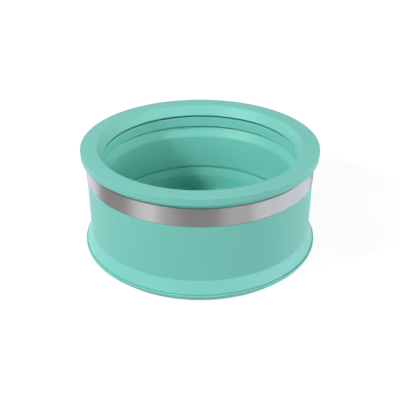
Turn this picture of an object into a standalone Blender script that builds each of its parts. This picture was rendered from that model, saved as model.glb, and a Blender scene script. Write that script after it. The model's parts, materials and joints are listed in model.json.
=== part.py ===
"""Collapsible travel cup, stored collapsed.

Three stages telescope. The base stage is the foot, the bottom cup that sits in it and the inner ring.
The middle stage slides up round the inner ring, and the rim stage (sleeve, steel band and rim) slides
up round the middle ring. Each ring ends at the top in a lip that carries a seal, and a retainer at the
bottom of the next ring out catches that lip when the cup is pulled open.

Metres, +Z up. The origin is the centre of the underside. Every piece is turned about Z.
"""

import math

import bmesh
import bpy

# Turning. Every piece has the same facets, so that nested walls stay parallel.
SEGMENTS = 60
FILLET_STEP = math.radians(32)
SHARP_ANGLE = math.radians(40)  # steeper edges than this stay crisp

# Clearances
FIT_GAP = 0.0003  # between pieces that are bonded or seated together
SLIDE_GAP = 0.0003  # round a ring that slides in another
SEAL_GAP = 0.00015  # round a seal in its groove, and between the seal and its bore
STACK_GAP = 0.0003  # between a stage and the foot that it stands on when collapsed
SLIT = 0.0009  # open line inside the cup between one ring and the next

# Heights of the collapsed cup
CUP_HEIGHT = 0.0445
SEAM_HEIGHT = 0.01475  # underside of the inner ring, where the bottom cup begins

# Inside of the cup
BORE_RADIUS = 0.0389  # inner ring and inner edge of the rim
SHOULDER_SETBACK = 0.0004  # how far the middle ring's shoulder stands back from the bore
BOTTOM_STEP = 0.0013  # how far the bottom cup is narrower than the bore
FLOOR_THICKNESS = 0.0016
FLOOR_FILLET = 0.0034

# Sliding rings
RING_WALL = 0.00135
SHOULDER_HEIGHT = 0.0044  # from the middle ring's top to the underside of its shoulder
LIP_DEPTH = 0.0009  # how far a lip stands out from its ring
LIP_HEIGHT = 0.0054
LIP_FLANGE = 0.0009  # part of the lip under its seal
SEAL_HEIGHT = 0.0015
SEAL_CROWN = 0.0004
SHELF_WIDTH = 0.0018  # slope at the top of the inner ring
SHELF_DROP = 0.00405
SHELF_FILLET = 0.0015
EDGE_FILLET = 0.0003

# Retainers
COLLAR_HEIGHT = 0.0012  # flange under the middle ring
SPIGOT_HEIGHT = 0.0020  # part of the middle retainer inside the middle ring
SLEEVE_RETAINER_HEIGHT = 0.0027
COUNTERBORE_DEPTH = 0.0008  # widening of the sleeve's bore for its retainer

# Outer sleeve
SLEEVE_WALL = 0.0020
FLARE_HEIGHT = 0.00525  # from the skirt's edge to the crease
FLARE_WIDTH = 0.00235
CREASE_FILLET = 0.0006
SKIRT_FILLET = 0.0005

# Steel band
BAND_HEIGHT = 0.0074
BAND_THICKNESS = 0.0004
BAND_PROUD = 0.0002  # how far it stands out from the sleeve

# Rim
RIM_OVERHANG = 0.0020  # beyond the sleeve
RIM_THICKNESS = 0.0045
RIM_LAND = 0.0067  # from the outer edge to the start of the inner slope
RIM_DROP = 0.00445  # height of the inner slope
RIM_ROOF = 0.0014  # above the groove that takes the sleeve
RIM_WALL = 0.0016  # behind the inner slope
RIM_RIB = 0.0010  # between the groove and the hollow behind the slope
BEAD_FILLET = 0.0019  # lower outer edge, rounder than the upper one
SLOPE_FILLET = 0.0008

# Bottom cup and its joint with the inner ring
TONGUE_WALL = 0.0006
TONGUE_LENGTH = 0.0032
GASKET_HEIGHT = 0.0010
WELL_DROP = 0.0037  # height of the slope at the top of the bottom cup
WELL_WIDTH = 0.0011

# Foot, a shallow dish that the bottom cup sits in
FOOT_THICKNESS = 0.0033  # at its edge
FOOT_PROUD = 0.0002  # how far it stands out from the skirt
FOOT_EDGE = 0.0008  # upright part of its side, above the taper
FOOT_TAPER = 0.00255  # how far the side leans in below that
FOOT_FILLET = 0.0010  # lower edge of the taper
FOOT_SHOULDER_FILLET = 0.0008  # upper edge of the taper
WEB_THICKNESS = 0.0013  # under the bottom cup
UNDERCUT_HEIGHT = 0.0006  # hollow under the foot
UNDERCUT_WIDTH = 0.0080  # from the foot's edge to the hollow

# Radii that follow, from the inside out
SHOULDER_RADIUS = BORE_RADIUS + SHOULDER_SETBACK
BOTTOM_RADIUS = BORE_RADIUS - BOTTOM_STEP
INNER_RADIUS = BORE_RADIUS + RING_WALL
INNER_LIP_RADIUS = INNER_RADIUS + LIP_DEPTH
MIDDLE_BORE = INNER_LIP_RADIUS + SLIDE_GAP
MIDDLE_RADIUS = MIDDLE_BORE + RING_WALL
MIDDLE_LIP_RADIUS = MIDDLE_RADIUS + LIP_DEPTH
SLEEVE_BORE = MIDDLE_LIP_RADIUS + SLIDE_GAP
SLEEVE_RADIUS = SLEEVE_BORE + SLEEVE_WALL
SKIRT_RADIUS = SLEEVE_RADIUS + FLARE_WIDTH
COUNTERBORE_RADIUS = SLEEVE_BORE + COUNTERBORE_DEPTH
BAND_RADIUS = SLEEVE_RADIUS + BAND_PROUD
BAND_SEAT_RADIUS = BAND_RADIUS - BAND_THICKNESS - FIT_GAP
RIM_RADIUS = SLEEVE_RADIUS + RIM_OVERHANG
FOOT_RADIUS = SKIRT_RADIUS + FOOT_PROUD

# Heights that follow, from the bottom up and from the rim down
WEB_TOP = UNDERCUT_HEIGHT + WEB_THICKNESS
BOTTOM_CUP_UNDERSIDE = WEB_TOP + FIT_GAP
FLOOR_HEIGHT = BOTTOM_CUP_UNDERSIDE + FLOOR_THICKNESS
STAGE_BOTTOM = FOOT_THICKNESS + STACK_GAP
CREASE_HEIGHT = STAGE_BOTTOM + FLARE_HEIGHT
COLLAR_TOP = STAGE_BOTTOM + COLLAR_HEIGHT
WELL_TOP = SEAM_HEIGHT - SLIT
TONGUE_BOTTOM = SEAM_HEIGHT - TONGUE_LENGTH
GASKET_BOTTOM = TONGUE_BOTTOM - FIT_GAP - GASKET_HEIGHT
RIM_UNDERSIDE = CUP_HEIGHT - RIM_THICKNESS
SLOPE_BOTTOM = CUP_HEIGHT - RIM_DROP
GROOVE_ROOF = CUP_HEIGHT - RIM_ROOF
BAND_TOP = RIM_UNDERSIDE - FIT_GAP
BAND_BOTTOM = BAND_TOP - BAND_HEIGHT
MIDDLE_TOP = SLOPE_BOTTOM - SLIT
SHOULDER_UNDERSIDE = MIDDLE_TOP - SHOULDER_HEIGHT
INNER_TOP = SHOULDER_UNDERSIDE - SLIT


def rounded(corners):
    """Points of an outline given as (radius, height, fillet) corners. It closes unless it ends on the axis."""
    points = []
    for i, (radius, height, fillet) in enumerate(corners):
        if fillet == 0:
            points.append((radius, height))
            continue
        before, after = corners[i - 1], corners[(i + 1) % len(corners)]
        towards_before = math.atan2(before[1] - height, before[0] - radius)
        towards_after = math.atan2(after[1] - height, after[0] - radius)
        opening = (towards_after - towards_before + math.pi) % math.tau - math.pi
        bisector = towards_before + opening / 2
        reach = fillet / math.sin(abs(opening) / 2)
        centre = (radius + reach * math.cos(bisector), height + reach * math.sin(bisector))
        turn = math.copysign(math.pi - abs(opening), -opening)
        steps = math.ceil(abs(turn) / FILLET_STEP)
        for step in range(steps + 1):
            angle = bisector + math.pi + turn * (step / steps - 0.5)
            points.append((centre[0] + fillet * math.cos(angle), centre[1] + fillet * math.sin(angle)))
    return points


def turned(name, corners, material, stage):
    """One solid turned about Z: a disc if the outline starts and ends on the axis, otherwise a ring."""
    outline = rounded(corners)
    mesh = bpy.data.meshes.new(name)
    bm = bmesh.new()
    verts = [bm.verts.new((radius, 0.0, height)) for radius, height in outline]
    following = verts[1:] if corners[0][0] == 0 else verts[1:] + verts[:1]
    edges = [bm.edges.new(pair) for pair in zip(verts, following)]
    bmesh.ops.spin(
        bm, geom=verts + edges, cent=(0, 0, 0), axis=(0, 0, 1), angle=math.tau, steps=SEGMENTS, use_merge=True
    )
    bmesh.ops.remove_doubles(bm, verts=bm.verts, dist=1e-6)
    bmesh.ops.recalc_face_normals(bm, faces=bm.faces)
    bm.to_mesh(mesh)
    bm.free()
    mesh.materials.append(material)
    mesh.shade_smooth()
    mesh.set_sharp_from_angle(angle=SHARP_ANGLE)
    piece = bpy.data.objects.new(name, mesh)
    bpy.context.collection.objects.link(piece)
    piece.parent = stage
    return piece


def surface(name, colour, roughness, metallic=0.0):
    material = bpy.data.materials.new(name)
    material.use_nodes = True
    shader = material.node_tree.nodes["Principled BSDF"]
    shader.inputs["Base Color"].default_value = (*colour, 1.0)
    shader.inputs["Roughness"].default_value = roughness
    shader.inputs["Metallic"].default_value = metallic
    return material


def stage_axis(name, parent=None):
    """Empty on the slide's axis, which carries every piece of one stage."""
    axis = bpy.data.objects.new(name, None)
    bpy.context.collection.objects.link(axis)
    axis.parent = parent
    return axis


def lip_seal(name, groove_radius, bore, lip_underside, material, stage):
    """Seal in the groove of a lip, with a crowned outer face."""
    bottom = lip_underside + LIP_FLANGE + SEAL_GAP
    top = bottom + SEAL_HEIGHT
    inside = groove_radius + SEAL_GAP
    outside = bore - SEAL_GAP
    corners = [
        (inside, bottom, 0),
        (outside - SEAL_CROWN, bottom, 0),
        (outside, bottom + SEAL_CROWN, 0),
        (outside, top - SEAL_CROWN, 0),
        (outside - SEAL_CROWN, top, 0),
        (inside, top, 0),
    ]
    return turned(name, corners, material, stage)


def lip_corners(ring_radius, top, outer_fillet):
    """Outside of a lip from its underside up to its top edge, with the groove for its seal."""
    lip_radius = ring_radius + LIP_DEPTH
    underside = top - LIP_HEIGHT
    groove_bottom = underside + LIP_FLANGE
    groove_top = groove_bottom + SEAL_HEIGHT + 2 * SEAL_GAP
    return [
        (ring_radius, underside, 0),
        (lip_radius, underside, 0),
        (lip_radius, groove_bottom, 0),
        (ring_radius, groove_bottom, 0),
        (ring_radius, groove_top, 0),
        (lip_radius, groove_top, 0),
        (lip_radius, top, outer_fillet),
    ]


def foot(material, stage):
    """Shallow dish with a tapered side, hollow underneath so that it stands on a ring."""
    dish_radius = INNER_RADIUS + FIT_GAP
    undercut_radius = FOOT_RADIUS - UNDERCUT_WIDTH
    corners = [
        (0, UNDERCUT_HEIGHT, 0),
        (undercut_radius - UNDERCUT_HEIGHT, UNDERCUT_HEIGHT, 0),
        (undercut_radius, 0, 0),
        (FOOT_RADIUS - FOOT_TAPER, 0, FOOT_FILLET),
        (FOOT_RADIUS, FOOT_THICKNESS - FOOT_EDGE, FOOT_SHOULDER_FILLET),
        (FOOT_RADIUS, FOOT_THICKNESS, EDGE_FILLET),
        (dish_radius, FOOT_THICKNESS, 0),
        (dish_radius, WEB_TOP, 0),
        (0, WEB_TOP, 0),
    ]
    return turned("foot", corners, material, stage)


def bottom_cup(material, stage):
    """Floor and lowest wall. Its top is stepped on the outside for the inner ring's tongue."""
    step_radius = INNER_RADIUS - TONGUE_WALL - FIT_GAP
    step_height = GASKET_BOTTOM - FIT_GAP
    corners = [
        (0, BOTTOM_CUP_UNDERSIDE, 0),
        (INNER_RADIUS, BOTTOM_CUP_UNDERSIDE, 0),
        (INNER_RADIUS, step_height, 0),
        (step_radius, step_height, 0),
        (step_radius, WELL_TOP, 0),
        (BOTTOM_RADIUS + WELL_WIDTH, WELL_TOP, 0),
        (BOTTOM_RADIUS, WELL_TOP - WELL_DROP, 0),
        (BOTTOM_RADIUS, FLOOR_HEIGHT, FLOOR_FILLET),
        (0, FLOOR_HEIGHT, 0),
    ]
    return turned("bottom_cup", corners, material, stage)


def bottom_gasket(material, stage):
    inside = INNER_RADIUS - TONGUE_WALL
    corners = [
        (inside, GASKET_BOTTOM, 0),
        (INNER_RADIUS, GASKET_BOTTOM, 0),
        (INNER_RADIUS, GASKET_BOTTOM + GASKET_HEIGHT, 0),
        (inside, GASKET_BOTTOM + GASKET_HEIGHT, 0),
    ]
    return turned("bottom_gasket", corners, material, stage)


def inner_ring(material, stage):
    """Fixed ring of the base stage: a tongue below, a lip above, and a sloping shelf inside the lip."""
    corners = [
        (INNER_RADIUS - TONGUE_WALL, TONGUE_BOTTOM, 0),
        (INNER_RADIUS, TONGUE_BOTTOM, 0),
        *lip_corners(INNER_RADIUS, INNER_TOP, 0),
        (BORE_RADIUS + SHELF_WIDTH, INNER_TOP, 0),
        (BORE_RADIUS, INNER_TOP - SHELF_DROP, SHELF_FILLET),
        (BORE_RADIUS, SEAM_HEIGHT, 0),
        (INNER_RADIUS - TONGUE_WALL, SEAM_HEIGHT, 0),
    ]
    return turned("inner_ring", corners, material, stage)


def middle_ring(material, stage):
    """Sliding ring with a lip outside and a deep shoulder inside, which covers the inner ring's top."""
    corners = [
        (MIDDLE_BORE, COLLAR_TOP + FIT_GAP, 0),
        (MIDDLE_RADIUS, COLLAR_TOP + FIT_GAP, 0),
        *lip_corners(MIDDLE_RADIUS, MIDDLE_TOP, 0),
        (SHOULDER_RADIUS, MIDDLE_TOP, EDGE_FILLET),
        (SHOULDER_RADIUS, SHOULDER_UNDERSIDE, EDGE_FILLET),
        (MIDDLE_BORE, SHOULDER_UNDERSIDE, 0),
    ]
    return turned("middle_ring", corners, material, stage)


def middle_retainer(material, stage):
    """Collar under the middle ring, with a spigot inside it that catches the inner ring's lip."""
    inside = INNER_RADIUS + SLIDE_GAP
    spigot_radius = MIDDLE_BORE - FIT_GAP
    spigot_top = COLLAR_TOP + SPIGOT_HEIGHT
    corners = [
        (inside, STAGE_BOTTOM, 0),
        (MIDDLE_RADIUS, STAGE_BOTTOM, 0),
        (MIDDLE_RADIUS, COLLAR_TOP, 0),
        (spigot_radius, COLLAR_TOP, 0),
        (spigot_radius, spigot_top, 0),
        (inside, spigot_top, 0),
    ]
    return turned("middle_retainer", corners, material, stage)


def sleeve_retainer(material, stage):
    """Ring in the sleeve's counterbore that catches the middle ring's lip."""
    inside = MIDDLE_RADIUS + SLIDE_GAP
    outside = COUNTERBORE_RADIUS - FIT_GAP
    top = STAGE_BOTTOM + SLEEVE_RETAINER_HEIGHT
    corners = [(inside, STAGE_BOTTOM, 0), (outside, STAGE_BOTTOM, 0), (outside, top, 0), (inside, top, 0)]
    return turned("sleeve_retainer", corners, material, stage)


def outer_sleeve(material, stage):
    """Drum with a flared skirt, a recess for the steel band and a tongue for the rim."""
    counterbore_top = STAGE_BOTTOM + SLEEVE_RETAINER_HEIGHT + FIT_GAP
    drum_top = BAND_BOTTOM - FIT_GAP
    tongue_top = GROOVE_ROOF - FIT_GAP
    corners = [
        (COUNTERBORE_RADIUS, STAGE_BOTTOM, 0),
        (SKIRT_RADIUS, STAGE_BOTTOM, SKIRT_FILLET),
        (SLEEVE_RADIUS, CREASE_HEIGHT, CREASE_FILLET),
        (SLEEVE_RADIUS, drum_top, 0),
        (BAND_SEAT_RADIUS, drum_top, 0),
        (BAND_SEAT_RADIUS, tongue_top, 0),
        (SLEEVE_BORE, tongue_top, 0),
        (SLEEVE_BORE, counterbore_top, 0),
        (COUNTERBORE_RADIUS, counterbore_top, 0),
    ]
    return turned("outer_sleeve", corners, material, stage)


def steel_band(material, stage):
    inside = BAND_RADIUS - BAND_THICKNESS
    corners = [(inside, BAND_BOTTOM, 0), (BAND_RADIUS, BAND_BOTTOM, 0), (BAND_RADIUS, BAND_TOP, 0), (inside, BAND_TOP, 0)]
    return turned("steel_band", corners, material, stage)


def rim_ring(material, stage):
    """Rim with a flat top, a rounded lower edge and an inner slope, hollow behind the slope."""
    groove_inside = SLEEVE_BORE - FIT_GAP
    groove_outside = BAND_SEAT_RADIUS + FIT_GAP
    slope_top_radius = RIM_RADIUS - RIM_LAND
    slope_width = slope_top_radius - BORE_RADIUS
    hollow_outside = groove_inside - RIM_RIB
    corners = [
        (groove_outside, RIM_UNDERSIDE, 0),
        (RIM_RADIUS, RIM_UNDERSIDE, BEAD_FILLET),
        (RIM_RADIUS, CUP_HEIGHT, EDGE_FILLET),
        (slope_top_radius, CUP_HEIGHT, SLOPE_FILLET),
        (BORE_RADIUS, SLOPE_BOTTOM, EDGE_FILLET),
        (BORE_RADIUS + RIM_WALL, SLOPE_BOTTOM, 0),
        (BORE_RADIUS + RIM_WALL + slope_width * (1 - RIM_ROOF / RIM_DROP), GROOVE_ROOF, 0),
        (hollow_outside, GROOVE_ROOF, 0),
        (hollow_outside, SLOPE_BOTTOM, 0),
        (groove_inside, SLOPE_BOTTOM, 0),
        (groove_inside, GROOVE_ROOF, 0),
        (groove_outside, GROOVE_ROOF, 0),
    ]
    return turned("rim_ring", corners, material, stage)


def build():
    for thing in list(bpy.data.objects):
        bpy.data.objects.remove(thing)

    plastic = surface("mint moulded plastic", (0.162, 0.514, 0.439), 0.45)
    steel = surface("brushed steel", (0.56, 0.55, 0.54), 0.3, metallic=1.0)
    silicone = surface("pale silicone", (0.42, 0.66, 0.61), 0.6)

    base_stage = stage_axis("base_stage")
    middle_stage = stage_axis("middle_stage", base_stage)
    rim_stage = stage_axis("rim_stage", middle_stage)

    foot(plastic, base_stage)
    bottom_cup(plastic, base_stage)
    bottom_gasket(silicone, base_stage)
    inner_ring(plastic, base_stage)
    lip_seal("inner_seal", INNER_RADIUS, MIDDLE_BORE, INNER_TOP - LIP_HEIGHT, silicone, base_stage)

    middle_ring(plastic, middle_stage)
    lip_seal("middle_seal", MIDDLE_RADIUS, SLEEVE_BORE, MIDDLE_TOP - LIP_HEIGHT, silicone, middle_stage)
    middle_retainer(plastic, middle_stage)

    outer_sleeve(plastic, rim_stage)
    sleeve_retainer(plastic, rim_stage)
    steel_band(steel, rim_stage)
    rim_ring(plastic, rim_stage)


build()
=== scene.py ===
"""Looks of the collapsible travel cup: fine turned pieces, finishes, studio and camera.

Metres, +Z up, in the frame of the solids. Positions and outer sizes come from the solids' boxes.
"""

import json
import math

import bmesh
import bpy
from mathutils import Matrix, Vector

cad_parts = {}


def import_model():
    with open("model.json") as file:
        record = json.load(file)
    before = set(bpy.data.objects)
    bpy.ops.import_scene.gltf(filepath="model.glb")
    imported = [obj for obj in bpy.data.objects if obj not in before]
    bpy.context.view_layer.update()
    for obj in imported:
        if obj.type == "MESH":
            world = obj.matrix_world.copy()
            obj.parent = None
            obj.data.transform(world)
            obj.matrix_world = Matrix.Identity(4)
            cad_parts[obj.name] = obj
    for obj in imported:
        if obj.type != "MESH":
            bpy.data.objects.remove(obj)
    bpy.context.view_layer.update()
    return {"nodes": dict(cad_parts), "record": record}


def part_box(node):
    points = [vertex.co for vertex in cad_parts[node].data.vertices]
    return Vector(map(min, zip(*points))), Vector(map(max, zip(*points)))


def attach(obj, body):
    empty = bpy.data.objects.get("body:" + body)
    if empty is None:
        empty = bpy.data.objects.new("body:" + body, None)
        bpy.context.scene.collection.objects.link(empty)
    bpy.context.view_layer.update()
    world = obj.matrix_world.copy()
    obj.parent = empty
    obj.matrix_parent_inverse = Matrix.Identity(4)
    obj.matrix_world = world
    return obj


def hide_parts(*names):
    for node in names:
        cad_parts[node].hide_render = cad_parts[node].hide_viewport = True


MM = 0.001
TURN_STEPS = 256
FILLET_STEP = math.radians(9)
MERGE_DISTANCE = 0.001 * MM
FACE_WEIGHT = 80  # broad faces steer the shading of the small fillets beside them

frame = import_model()


# ---- Sizes that the frame gives ----


def radius_of(node):
    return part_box(node)[1].x


def bore_of(node):
    return min(math.hypot(v.co.x, v.co.y) for v in frame["nodes"][node].data.vertices)


def bottom_of(node):
    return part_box(node)[0].z


def top_of(node):
    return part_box(node)[1].z


RIM_RADIUS = radius_of("rim_ring")
RIM_TOP = top_of("rim_ring")
SLOPE_BOTTOM = bottom_of("rim_ring")
BORE = bore_of("inner_ring")
BAND_RADIUS = radius_of("steel_band")
BAND_BOTTOM = bottom_of("steel_band")
BAND_TOP = top_of("steel_band")
SLEEVE_TONGUE_TOP = top_of("outer_sleeve")
SLEEVE_BORE = bore_of("outer_sleeve")
SKIRT_RADIUS = radius_of("outer_sleeve")
SKIRT_BOTTOM = bottom_of("outer_sleeve")
SHOULDER_BORE = bore_of("middle_ring")
MIDDLE_TOP = top_of("middle_ring")
MIDDLE_BOTTOM = bottom_of("middle_ring")
MIDDLE_LIP = radius_of("middle_ring")
INNER_TOP = top_of("inner_ring")
INNER_LIP = radius_of("inner_ring")
TONGUE_BOTTOM = bottom_of("inner_ring")
CUP_TOP = top_of("bottom_cup")
CUP_BOTTOM = bottom_of("bottom_cup")
CUP_RADIUS = radius_of("bottom_cup")
GASKET_BOTTOM = bottom_of("bottom_gasket")
FOOT_RADIUS = radius_of("foot")
FOOT_TOP = top_of("foot")

# Sizes inside the pieces, the same as the solids have
FIT_GAP = 0.3 * MM
LIP_DEPTH = 0.9 * MM
LIP_HEIGHT = 5.4 * MM
GROOVE_LOW = 0.9 * MM
GROOVE_HIGH = 2.7 * MM
RING_WALL = 1.35 * MM
RIM_THICKNESS = 4.5 * MM
RIM_LAND = 6.7 * MM
RIM_ROOF = 1.4 * MM
RIM_WALL = 1.6 * MM
RIM_RIB = 1.0 * MM
BAND_THICKNESS = 0.4 * MM
BAND_PROUD = 0.2 * MM
FLARE_HEIGHT = 5.25 * MM
COUNTERBORE_DEPTH = 0.8 * MM
COUNTERBORE_HEIGHT = 3.0 * MM
SHOULDER_HEIGHT = 4.4 * MM
SHELF_WIDTH = 1.8 * MM
SHELF_DROP = 4.05 * MM
SLIT = 0.9 * MM
TONGUE_WALL = 0.6 * MM
BOTTOM_STEP = 1.3 * MM
WELL_WIDTH = 1.1 * MM
WELL_DROP = 3.7 * MM
FLOOR_THICKNESS = 1.6 * MM
UNDERCUT_WIDTH = 8.0 * MM
UNDERCUT_HEIGHT = 0.6 * MM
FOOT_EDGE = 0.8 * MM
FOOT_TAPER = 2.55 * MM

# Small edge radii, left by the mould and by deburring the steel
MOULD_EDGE = 0.15 * MM
STEEL_EDGE = 0.08 * MM
STEP_EDGE = 0.1 * MM  # thin step of the bottom cup, behind the seam

# Rounder edges and creases
BEAD_FILLET = 2.0 * MM  # lower outer edge of the rim
BROW_FILLET = 0.9 * MM  # where the rim's flat top turns down into its slope
LINE_FILLET = 0.35 * MM  # edges that face the dark lines inside the cup
SHELF_FILLET = 2.2 * MM  # crease under the slope of the inner ring
SEAM_FILLET = 0.25 * MM  # lower edge of the inner ring, over the bottom cup
WELL_FILLET = 2.5 * MM  # crease under the slope of the bottom cup
FLOOR_FILLET = 0.6 * MM  # corner between floor and wall
CREASE_FILLET = 0.6 * MM  # where the drum turns into the skirt
EDGE_FILLET = 0.3 * MM  # skirt's lower edge, middle ring's outer edges and the foot's hollow
TOP_FILLET = 0.2 * MM  # top edges of the bottom cup and the foot
FOOT_FILLET = 1.0 * MM  # lower edge of the foot's taper
FOOT_SHOULDER_FILLET = 0.8 * MM  # upper edge of that taper

# Seams that look wider or narrower than the solids have them
UNDERSIDE_RISE = 0.25 * MM  # how far the rim's underside is lifted off the band
BAND_DROP = 0.22 * MM  # how far the band's top edge is lowered from the rim
FOOT_SEAM = 0.1 * MM  # gap left between foot and skirt

# Studio
LAMP_DISTANCE = 0.9
CAMERA_LENS, CAMERA_SENSOR = 61.26, 36  # both in mm
CAMERA_DISTANCE = 0.288
CAMERA_ELEVATION = math.radians(29)
CAMERA_TARGET = Vector((0, 0, 17.6 * MM))
FLOOR_REACH = 3.0
FLOOR_DROP = 0.05 * MM  # keeps the floor clear of the foot's underside
FLOOR_NEAR, NEAR_WHITE = 0.15, 0.85  # distance from the cup's axis, and how white the floor is up to there
FLOOR_FAR, FAR_WHITE = 0.6, 1.0  # the same from where it is plain white


# ---- Turning ----


def round_corner(bm, vert, radius):
    """Round one corner of an outline that isn't turned yet."""
    ways = [(edge.other_vert(vert).co - vert.co).normalized() for edge in vert.link_edges]
    opening = ways[0].angle(ways[1])
    bmesh.ops.bevel(
        bm,
        geom=[vert],
        offset=radius / math.tan(opening / 2),
        segments=max(2, math.ceil((math.pi - opening) / FILLET_STEP)),
        profile=0.5,
        affect="VERTICES",
        material=-1,
    )


def turned(name, corners):
    """Piece turned about Z from (radius, height, fillet) corners.

    It is a disc if they start and end on the axis, otherwise a ring.
    """
    bm = bmesh.new()
    verts = [bm.verts.new((radius, 0, height)) for radius, height, _ in corners]
    following = verts[1:] if corners[0][0] == 0 else verts[1:] + verts[:1]
    for pair in zip(verts, following):
        bm.edges.new(pair)
    for vert, (_, _, fillet) in zip(verts, corners):
        if fillet:
            round_corner(bm, vert, fillet)
    bmesh.ops.spin(
        bm,
        geom=bm.verts[:] + bm.edges[:],
        cent=(0, 0, 0),
        axis=(0, 0, 1),
        angle=math.tau,
        steps=TURN_STEPS,
        use_merge=True,
    )
    bmesh.ops.remove_doubles(bm, verts=bm.verts, dist=MERGE_DISTANCE)
    bmesh.ops.recalc_face_normals(bm, faces=bm.faces)
    mesh = bpy.data.meshes.new(name)
    bm.to_mesh(mesh)
    bm.free()
    mesh.shade_smooth()
    piece = bpy.data.objects.new(name, mesh)
    bpy.context.scene.collection.objects.link(piece)
    normals = piece.modifiers.new("Even shading", "WEIGHTED_NORMAL")
    normals.weight = FACE_WEIGHT
    return piece


def place(piece, node, material):
    """Stand the piece in for its node, on the same body and finish."""
    piece.data.materials.append(material)
    bodies = frame["record"]["behaviour"]["bodies"]
    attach(piece, next(body for body, nodes in bodies.items() if node in nodes))
    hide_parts(node)


# ---- Finishes ----


def colour(code):
    """Linear colour from an sRGB hex code."""
    channels = [int(code[i : i + 2], 16) / 255 for i in (1, 3, 5)]
    return (*[c / 12.92 if c <= 0.04045 else ((c + 0.055) / 1.055) ** 2.4 for c in channels], 1)


def add(tree, kind, links=(), **settings):
    """Add a node: settings are its properties, or inputs as in_NAME; links are (input, output socket)."""
    node = tree.nodes.new(kind)
    for key, value in settings.items():
        if key.startswith("in_"):
            node.inputs[key[3:].replace("_", " ")].default_value = value
        else:
            setattr(node, key, value)
    for socket, source in links:
        tree.links.new(source, node.inputs[socket])
    return node


def new_finish(name):
    """New material, its node tree and its Principled shader."""
    material = bpy.data.materials.new(name)
    material.use_nodes = True
    return material, material.node_tree, material.node_tree.nodes["Principled BSDF"]


def moulded_polypropylene():
    """Mint polypropylene moulded in a spark-eroded tool: an even, fine matt with a soft sheen."""
    material, tree, shader = new_finish("moulded polypropylene, mint, fine matt")
    position = add(tree, "ShaderNodeTexCoord").outputs["Object"]

    # Faint clouding where the melt flowed, about 25 mm across
    flow = add(tree, "ShaderNodeTexNoise", [("Vector", position)], in_Scale=1 / (25 * MM), in_Detail=2.0)
    tint = add(tree, "ShaderNodeMix", [("Factor", flow.outputs["Fac"])], data_type="RGBA")
    tint.inputs["A"].default_value = colour("#79CDC1")
    tint.inputs["B"].default_value = colour("#7DD2C5")
    tree.links.new(tint.outputs["Result"], shader.inputs["Base Color"])

    # Spark-eroded grain: 0.1 mm on the tool, drawn at 0.5 mm so that it shows
    grain = add(tree, "ShaderNodeTexNoise", [("Vector", position)], in_Scale=1 / (0.5 * MM), in_Detail=3.0)
    matt = add(tree, "ShaderNodeMapRange", [("Value", grain.outputs["Fac"])])
    matt.inputs["To Min"].default_value = 0.44
    matt.inputs["To Max"].default_value = 0.52
    tree.links.new(matt.outputs["Result"], shader.inputs["Roughness"])
    bump = add(
        tree, "ShaderNodeBump", [("Height", grain.outputs["Fac"])], in_Strength=0.12, in_Distance=0.02 * MM
    )
    tree.links.new(bump.outputs["Normal"], shader.inputs["Normal"])
    shader.inputs["IOR"].default_value = 1.49
    return material


def brushed_stainless():
    """Stainless strip brushed along its length, so that highlights spread up and down across the grain."""
    material, tree, shader = new_finish("brushed stainless steel strip")
    position = add(tree, "ShaderNodeTexCoord").outputs["Object"]

    # Grain lines run round the band: 0.05 mm apart on the strip, drawn at 0.3 mm so that they show
    along, across = 1 / (12 * MM), 1 / (0.3 * MM)
    stretch = add(tree, "ShaderNodeMapping", [("Vector", position)], in_Scale=(along, along, across))
    grain = add(
        tree, "ShaderNodeTexNoise", [("Vector", stretch.outputs["Vector"])], in_Scale=1.0, in_Detail=4.0
    )
    tint = add(tree, "ShaderNodeMix", [("Factor", grain.outputs["Fac"])], data_type="RGBA")
    tint.inputs["A"].default_value = colour("#8D8B8A")
    tint.inputs["B"].default_value = colour("#999796")
    tree.links.new(tint.outputs["Result"], shader.inputs["Base Color"])
    satin = add(tree, "ShaderNodeMapRange", [("Value", grain.outputs["Fac"])])
    satin.inputs["To Min"].default_value = 0.44
    satin.inputs["To Max"].default_value = 0.52
    tree.links.new(satin.outputs["Result"], shader.inputs["Roughness"])
    bump = add(
        tree, "ShaderNodeBump", [("Height", grain.outputs["Fac"])], in_Strength=0.15, in_Distance=0.01 * MM
    )
    tree.links.new(bump.outputs["Normal"], shader.inputs["Normal"])
    tangent = add(tree, "ShaderNodeTangent", direction_type="RADIAL", axis="Z")
    tree.links.new(tangent.outputs["Tangent"], shader.inputs["Tangent"])
    shader.inputs["Metallic"].default_value = 1.0
    shader.inputs["Anisotropic"].default_value = 1.0
    shader.inputs["Anisotropic Rotation"].default_value = 0.25
    return material


def moulded_silicone():
    """Pale silicone of the seals: soft, slightly clouded, without gloss."""
    material, tree, shader = new_finish("moulded silicone, pale")
    position = add(tree, "ShaderNodeTexCoord").outputs["Object"]
    cloud = add(tree, "ShaderNodeTexNoise", [("Vector", position)], in_Scale=1 / (6 * MM), in_Detail=2.0)
    tint = add(tree, "ShaderNodeMix", [("Factor", cloud.outputs["Fac"])], data_type="RGBA")
    tint.inputs["A"].default_value = colour("#B3D8D1")
    tint.inputs["B"].default_value = colour("#BCDED8")
    tree.links.new(tint.outputs["Result"], shader.inputs["Base Color"])
    shader.inputs["Roughness"].default_value = 0.62
    shader.inputs["IOR"].default_value = 1.41
    return material


# ---- Pieces ----


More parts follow.
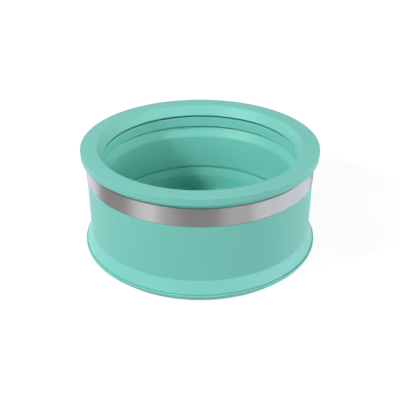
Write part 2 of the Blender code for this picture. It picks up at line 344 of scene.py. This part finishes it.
def rim():
    """Rim: a rounded lower edge, a flat top and an inner slope, hollow behind the slope."""
    groove_inside = SLEEVE_BORE - FIT_GAP
    groove_outside = BAND_RADIUS - BAND_THICKNESS
    slope_top = RIM_RADIUS - RIM_LAND
    slope_width = slope_top - BORE
    roof = RIM_TOP - RIM_ROOF
    rib = groove_inside - RIM_RIB
    lean = slope_width * (1 - RIM_ROOF / (RIM_TOP - SLOPE_BOTTOM))
    underside = RIM_TOP - RIM_THICKNESS + UNDERSIDE_RISE
    return turned(
        "rim",
        [
            (groove_outside, underside, MOULD_EDGE),
            (RIM_RADIUS, underside, BEAD_FILLET),
            (RIM_RADIUS, RIM_TOP, MOULD_EDGE),
            (slope_top, RIM_TOP, BROW_FILLET),
            (BORE, SLOPE_BOTTOM, LINE_FILLET),
            (BORE + RIM_WALL, SLOPE_BOTTOM, MOULD_EDGE),
            (BORE + RIM_WALL + lean, roof, 0),
            (rib, roof, 0),
            (rib, SLOPE_BOTTOM, MOULD_EDGE),
            (groove_inside, SLOPE_BOTTOM, MOULD_EDGE),
            (groove_inside, roof, 0),
            (groove_outside, roof, 0),
        ],
    )


def band():
    """Steel strip in the recess under the rim."""
    inside = BAND_RADIUS - BAND_THICKNESS
    top = BAND_TOP - BAND_DROP
    ends = [(inside, BAND_BOTTOM), (BAND_RADIUS, BAND_BOTTOM), (BAND_RADIUS, top), (inside, top)]
    return turned("band", [(radius, height, STEEL_EDGE) for radius, height in ends])


def sleeve():
    """Drum with its flared skirt, a seat for the band and a tongue for the rim."""
    seat = BAND_RADIUS - BAND_THICKNESS - FIT_GAP
    outside = BAND_RADIUS - BAND_PROUD
    counterbore = SLEEVE_BORE + COUNTERBORE_DEPTH
    return turned(
        "sleeve",
        [
            (counterbore, SKIRT_BOTTOM, MOULD_EDGE),
            (SKIRT_RADIUS, SKIRT_BOTTOM, EDGE_FILLET),
            (outside, SKIRT_BOTTOM + FLARE_HEIGHT, CREASE_FILLET),
            (outside, BAND_BOTTOM - FIT_GAP, MOULD_EDGE),
            (seat, BAND_BOTTOM - FIT_GAP, 0),
            (seat, SLEEVE_TONGUE_TOP, MOULD_EDGE),
            (SLEEVE_BORE, SLEEVE_TONGUE_TOP, MOULD_EDGE),
            (SLEEVE_BORE, SKIRT_BOTTOM + COUNTERBORE_HEIGHT, MOULD_EDGE),
            (counterbore, SKIRT_BOTTOM + COUNTERBORE_HEIGHT, 0),
        ],
    )


def lip(ring_radius, lip_radius, top, edge):
    """Outside of a lip from its underside to its top edge, with the groove for its seal."""
    underside = top - LIP_HEIGHT
    return [
        (ring_radius, underside, MOULD_EDGE),
        (lip_radius, underside, MOULD_EDGE),
        (lip_radius, underside + GROOVE_LOW, MOULD_EDGE),
        (ring_radius, underside + GROOVE_LOW, 0),
        (ring_radius, underside + GROOVE_HIGH, 0),
        (lip_radius, underside + GROOVE_HIGH, MOULD_EDGE),
        (lip_radius, top, edge),
    ]


def middle_wall():
    """Middle ring: a thin wall with a lip outside and a deep shoulder inside."""
    outside = MIDDLE_LIP - LIP_DEPTH
    inside = outside - RING_WALL
    return turned(
        "middle_wall",
        [
            (inside, MIDDLE_BOTTOM, MOULD_EDGE),
            (outside, MIDDLE_BOTTOM, MOULD_EDGE),
            *lip(outside, MIDDLE_LIP, MIDDLE_TOP, EDGE_FILLET),
            (SHOULDER_BORE, MIDDLE_TOP, LINE_FILLET),
            (SHOULDER_BORE, MIDDLE_TOP - SHOULDER_HEIGHT, LINE_FILLET),
            (inside, MIDDLE_TOP - SHOULDER_HEIGHT, EDGE_FILLET),
        ],
    )


def inner_wall():
    """Inner ring: a tongue below, a lip above and a slope inside the lip."""
    outside = BORE + RING_WALL
    seam = CUP_TOP + SLIT
    return turned(
        "inner_wall",
        [
            (outside - TONGUE_WALL, TONGUE_BOTTOM, MOULD_EDGE),
            (outside, TONGUE_BOTTOM, MOULD_EDGE),
            *lip(outside, INNER_LIP, INNER_TOP, MOULD_EDGE),
            (BORE + SHELF_WIDTH, INNER_TOP, MOULD_EDGE),
            (BORE, INNER_TOP - SHELF_DROP, SHELF_FILLET),
            (BORE, seam, SEAM_FILLET),
            (outside - TONGUE_WALL, seam, 0),
        ],
    )


def well():
    """Bottom cup: the floor and the lowest wall."""
    step = CUP_RADIUS - TONGUE_WALL - FIT_GAP
    inside = BORE - BOTTOM_STEP
    floor_top = CUP_BOTTOM + FLOOR_THICKNESS
    return turned(
        "well",
        [
            (0, CUP_BOTTOM, 0),
            (CUP_RADIUS, CUP_BOTTOM, MOULD_EDGE),
            (CUP_RADIUS, GASKET_BOTTOM - FIT_GAP, MOULD_EDGE),
            (step, GASKET_BOTTOM - FIT_GAP, 0),
            (step, CUP_TOP, STEP_EDGE),
            (inside + WELL_WIDTH, CUP_TOP, TOP_FILLET),
            (inside, CUP_TOP - WELL_DROP, WELL_FILLET),
            (inside, floor_top, FLOOR_FILLET),
            (0, floor_top, 0),
        ],
    )


def base():
    """Foot: a shallow dish with a tapered side, hollow underneath."""
    dish = CUP_RADIUS + FIT_GAP
    web_top = CUP_BOTTOM - FIT_GAP
    undercut = FOOT_RADIUS - UNDERCUT_WIDTH
    seam = SKIRT_BOTTOM - FOOT_SEAM
    return turned(
        "base",
        [
            (0, UNDERCUT_HEIGHT, 0),
            (undercut - UNDERCUT_HEIGHT, UNDERCUT_HEIGHT, EDGE_FILLET),
            (undercut, 0, EDGE_FILLET),
            (FOOT_RADIUS - FOOT_TAPER, 0, FOOT_FILLET),
            (FOOT_RADIUS, FOOT_TOP - FOOT_EDGE, FOOT_SHOULDER_FILLET),
            (FOOT_RADIUS, seam, TOP_FILLET),
            (dish, seam, MOULD_EDGE),
            (dish, web_top, 0),
            (0, web_top, 0),
        ],
    )


def dress():
    """Give every solid its looks: a finer piece in its place, or a finish on the solid itself."""
    plastic = moulded_polypropylene()
    steel = brushed_stainless()
    silicone = moulded_silicone()
    place(rim(), "rim_ring", plastic)
    place(band(), "steel_band", steel)
    place(sleeve(), "outer_sleeve", plastic)
    place(middle_wall(), "middle_ring", plastic)
    place(inner_wall(), "inner_ring", plastic)
    place(well(), "bottom_cup", plastic)
    place(base(), "foot", plastic)
    for node in ("sleeve_retainer", "middle_retainer"):
        frame["nodes"][node].material_slots[0].material = plastic
    for node in ("inner_seal", "middle_seal", "bottom_gasket"):
        frame["nodes"][node].material_slots[0].material = silicone


# ---- Studio ----


def light_from(name, azimuth, elevation, size, power, tint="#FFFFFF", use="both"):
    """Soft box that looks at the cup from an azimuth (0 is +X, 90 is +Y) and an elevation, in degrees.

    Its size is in metres and its power in watts. Its use is "both", "light" for a fill that isn't
    reflected, or "reflection" for a card that is only reflected.
    """
    data = bpy.data.lights.new(name, "AREA")
    data.shape = "RECTANGLE"
    data.size, data.size_y = size
    data.energy = power
    data.color = colour(tint)[:3]
    lamp = bpy.data.objects.new(name, data)
    bpy.context.scene.collection.objects.link(lamp)
    around, up = math.radians(azimuth), math.radians(elevation)
    direction = Vector((math.cos(around) * math.cos(up), math.sin(around) * math.cos(up), math.sin(up)))
    lamp.location = direction * LAMP_DISTANCE
    lamp.rotation_euler = direction.to_track_quat("Z", "Y").to_euler()
    lamp.visible_diffuse = use != "reflection"
    lamp.visible_glossy = use != "light"


def seen_only(tree):
    """One for rays from the camera, reflections and clear materials, and none for light on the cup."""
    rays = add(tree, "ShaderNodeLightPath")
    total = rays.outputs["Is Camera Ray"]
    for name in ("Is Glossy Ray", "Is Transmission Ray"):
        both = add(tree, "ShaderNodeMath", operation="ADD")
        tree.links.new(total, both.inputs[0])
        tree.links.new(rays.outputs[name], both.inputs[1])
        total = both.outputs["Value"]
    return total


def floor():
    """Plain pale floor, seen as white."""
    mesh = bpy.data.meshes.new("floor")
    bm = bmesh.new()
    bmesh.ops.create_grid(bm, x_segments=1, y_segments=1, size=FLOOR_REACH)
    bmesh.ops.translate(bm, verts=bm.verts, vec=(0, 0, -FLOOR_DROP))
    bm.to_mesh(mesh)
    bm.free()
    ground = bpy.data.objects.new("floor", mesh)
    bpy.context.scene.collection.objects.link(ground)
    material, tree, shader = new_finish("white paper floor")
    shader.inputs["Base Color"].default_value = colour("#8C8C8C")
    shader.inputs["Roughness"].default_value = 0.9
    shader.inputs["Specular IOR Level"].default_value = 0.0
    shader.inputs["Emission Color"].default_value = (1, 1, 1, 1)

    # A little below white round the cup, where the lamps add the rest, and white farther out
    position = add(tree, "ShaderNodeTexCoord").outputs["Object"]
    reach = add(tree, "ShaderNodeVectorMath", [(0, position)], operation="LENGTH")
    white = add(tree, "ShaderNodeMapRange", [("Value", reach.outputs["Value"])])
    white.inputs["From Min"].default_value = FLOOR_NEAR
    white.inputs["From Max"].default_value = FLOOR_FAR
    white.inputs["To Min"].default_value = NEAR_WHITE
    white.inputs["To Max"].default_value = FAR_WHITE
    level = add(
        tree, "ShaderNodeMath", [(0, seen_only(tree)), (1, white.outputs["Result"])], operation="MULTIPLY"
    )
    tree.links.new(level.outputs["Value"], shader.inputs["Emission Strength"])
    mesh.materials.append(material)


def world():
    """White surroundings, seen and reflected but lighting nothing."""
    scene_world = bpy.data.worlds.new("studio")
    bpy.context.scene.world = scene_world
    scene_world.use_nodes = True
    background = scene_world.node_tree.nodes["Background"]
    background.inputs["Color"].default_value = (1, 1, 1, 1)
    scene_world.node_tree.links.new(seen_only(scene_world.node_tree), background.inputs["Strength"])


def camera():
    """Camera close to the cup, looking down into it from the front."""
    data = bpy.data.cameras.new("camera")
    data.lens = CAMERA_LENS
    data.sensor_width = CAMERA_SENSOR
    data.clip_start = 0.01
    eye = bpy.data.objects.new("camera", data)
    bpy.context.scene.collection.objects.link(eye)
    back = Vector((0, -math.cos(CAMERA_ELEVATION), math.sin(CAMERA_ELEVATION)))
    eye.location = CAMERA_TARGET + CAMERA_DISTANCE * back
    eye.rotation_euler = (math.pi / 2 - CAMERA_ELEVATION, 0, 0)
    bpy.context.scene.camera = eye


def studio():
    """Floor, surroundings, camera and lamps."""
    floor()
    world()
    camera()

    # The fills shade the plastic, and the cards give the steel band its light and dark zones
    light_from("key", 211, 38, (0.12, 0.1), 4.4, use="light")
    light_from("key_card", 216, 28, (0.4, 0.3), 3.5, use="reflection")
    light_from("left_high", 180, 56, (0.26, 0.26), 0.95, use="light")
    light_from("left_card", 149, 3, (0.5, 0.08), 2.7, "#E8F0FF", use="reflection")
    light_from("front_left", 234, 24, (0.45, 0.26), 1.4)
    light_from("front_right", 302, 24, (0.36, 0.26), 1.8)
    light_from("front_right_low", 325, 12, (0.3, 0.2), 0.9)
    light_from("right_high", 346, 40, (0.26, 0.26), 1.2)
    light_from("right_low", 355, 12, (0.34, 0.2), 1.05)
    light_from("right", 22, 20, (0.5, 0.2), 1.2)
    light_from("right_card", 358, 3, (1.6, 0.08), 7.2, "#D3E5FF", use="reflection")
    light_from("back_left", 144, 20, (0.3, 0.26), 1.0, use="light")

    bpy.context.scene.view_settings.view_transform = "Standard"


dress()
studio()
